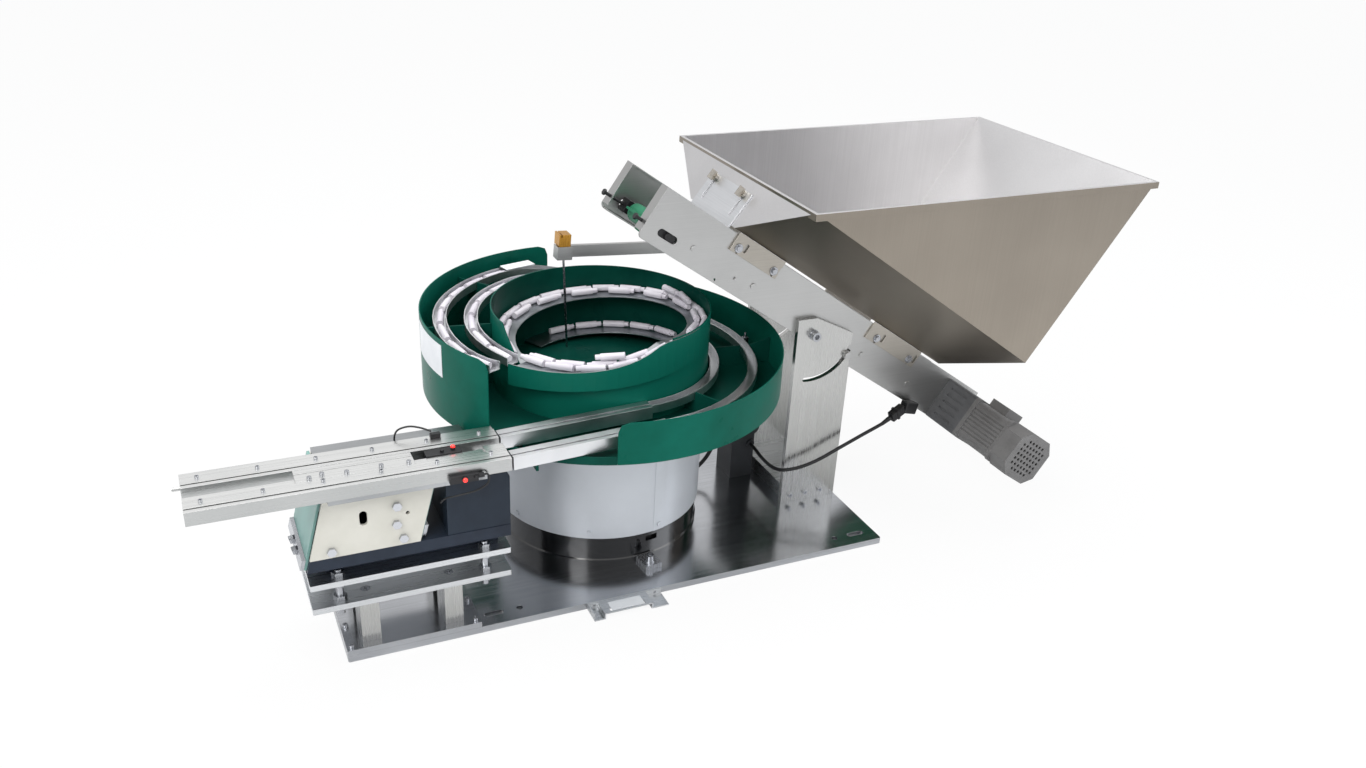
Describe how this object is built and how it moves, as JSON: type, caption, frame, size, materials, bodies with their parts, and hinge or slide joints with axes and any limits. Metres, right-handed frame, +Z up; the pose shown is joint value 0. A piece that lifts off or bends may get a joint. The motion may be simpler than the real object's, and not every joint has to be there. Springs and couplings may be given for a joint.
{
  "type": "vibratory bowl feeder",
  "caption": "Vibratory bowl feeder line on a steel base plate: hopper and belt elevator fill a green bowl, two lanes carry plugs along a linear feeder.",
  "frame": {"origin": "centre of the base plate's underside, where it stands on the floor or machine bed", "axes": "+Z up, +X along the base plate towards the hopper and motor, -Y the long side that carries the track and label bracket"},
  "size_m": [1.7258, 0.6735, 0.6738],
  "materials": {
    "polished_plate": "mirror-polished base plate",
    "bright_steel": "ground steel",
    "zinc": "zinc-plated screws and nuts",
    "green_paint": "gloss green lining",
    "black_paint": "gloss black",
    "cast_dark": "painted casting",
    "cream_paint": "satin cream",
    "spring_teal": "satin leaf springs",
    "sheet_grey": "satin sheet",
    "frame_alu": "brushed",
    "stainless": "brushed stainless",
    "bracket_steel": "laser-cut steel",
    "motor_grey": "satin motor paint",
    "gear_grey": "satin casting",
    "belt_green": "cleated belt",
    "plug_white": "white plugs",
    "gold_block": "gold anodised",
    "black_plastic": "cables, sensors and inner pieces",
    "coil": "potted coils and cores"
  },
  "bodies": {
    "frame": {"base_plate": "polished_plate", "label_bracket": "bright_steel", "foot_plate": "polished_plate", "stand_posts": "bright_steel", "stand_lower_plate": "bright_steel", "frame_screws": "zinc", "drive_base": "black_paint", "drive_clamps": "zinc", "drive_skirt": "sheet_grey", "drive_springs": "spring_teal", "drive_coil": "coil", "elevator_posts": "bright_steel", "post_foot_bar": "bright_steel", "post_bolts": "zinc", "control_box": "black_plastic", "drive_cable": "black_plastic", "motor_cable": "black_plastic"},
    "feeder_stage": {"stand_upper_plate": "bright_steel", "levelling_bolts": "zinc", "feeder_base": "cast_dark", "feeder_springs": "spring_teal", "spring_clamps": "zinc", "feeder_side_plates": "cream_paint", "feeder_cover": "gear_grey", "feeder_coil": "coil"},
    "feeder_track": {"feeder_top": "bright_steel", "track_rails": "bright_steel", "track_cover": "bright_steel", "track_screws": "zinc", "lane_sensors": "black_plastic", "sensor_cables": "black_plastic"},
    "bowl": {"drive_top": "cast_dark", "inner_bowl": "green_paint", "spiral_track": "bright_steel", "return_pan": "green_paint", "left_wall": "green_paint", "right_wall": "green_paint", "bowl_ribs": "green_paint", "inner_lane": "bright_steel", "outer_lane": "bright_steel", "lane_fittings": "zinc", "workpieces": "plug_white"},
    "elevator": {"side_plates": "frame_alu", "belt_bed": "frame_alu", "cleated_belt": "belt_green", "gear_head": "gear_grey", "motor_body": "motor_grey", "fan_cover": "motor_grey", "tail_bearings": "frame_alu", "hopper_bolts": "zinc", "sensor_arm": "frame_alu", "switch_block": "gold_block"},
    "hopper_body": {"hopper": "stainless", "hopper_brackets": "bracket_steel"},
    "gate": {"gate_plate": "zinc"},
    "tension": {"tension_blocks": "frame_alu"},
    "head_roller": {"head_roller": "bright_steel"},
    "tail_roller": {"tail_roller": "bright_steel"},
    "motor_fan": {"motor_fan": "black_plastic"},
    "switch_rod": {"switch_rod": "bright_steel"}
  },
  "joints": [
    {"name": "levelling", "type": "slide", "parent": "frame", "child": "feeder_stage", "axis": [0, 0, 1], "range_m": [-0.004, 0.004]},
    {"name": "feeder_vibration", "type": "slide", "parent": "feeder_stage", "child": "feeder_track", "axis": [0.9659, 0, -0.2588], "range_m": [-0.0008, 0.0008], "stiffness_N_per_m": 300000, "deforming": ["feeder_springs"]},
    {"name": "bowl_vibration", "type": "hinge", "parent": "frame", "child": "bowl", "pos_m": [0.029, 0.005, 0.297], "axis": [0, 0, 1], "range_deg": [-0.25, 0.25], "stiffness_Nm_per_rad": 20000, "deforming": ["drive_springs"]},
    {"name": "tilt", "type": "hinge", "parent": "frame", "child": "elevator", "pos_m": [0.4135, -0.004, 0.372], "axis": [0, 1, 0], "range_deg": [-1, 12]},
    {"name": "hopper_height", "type": "slide", "parent": "elevator", "child": "hopper_body", "axis": [0.5592, 0, 0.829], "range_m": [0, 0.01]},
    {"name": "gate_slide", "type": "slide", "parent": "hopper_body", "child": "gate", "axis": [0.6161, 0, 0.7877], "range_m": [0, 0.018]},
    {"name": "belt_tension", "type": "slide", "parent": "elevator", "child": "tension", "axis": [0.829, 0, -0.5592], "range_m": [0, 0.01]},
    {"name": "head_spin", "type": "hinge", "parent": "tension", "child": "head_roller", "pos_m": [0.10847, -0.004, 0.5886], "axis": [0, 1, 0], "continuous": true},
    {"name": "tail_spin", "type": "hinge", "parent": "elevator", "child": "tail_roller", "pos_m": [0.76092, -0.004, 0.14852], "axis": [0, 1, 0], "continuous": true},
    {"name": "fan_spin", "type": "hinge", "parent": "elevator", "child": "motor_fan", "pos_m": [0.77099, -0.304, 0.16344], "axis": [0, 1, 0], "continuous": true},
    {"name": "rod_swing", "type": "hinge", "parent": "elevator", "child": "switch_rod", "pos_m": [-0.0182, 0.0788, 0.5352], "axis": [0, 1, 0], "range_deg": [-12, 16], "stiffness_Nm_per_rad": 0.3}
  ],
  "couplings": [
    {"joint": "head_spin", "follows": "tail_spin", "ratio": 1},
    {"joint": "fan_spin", "follows": "tail_spin", "ratio": 10}
  ]
}
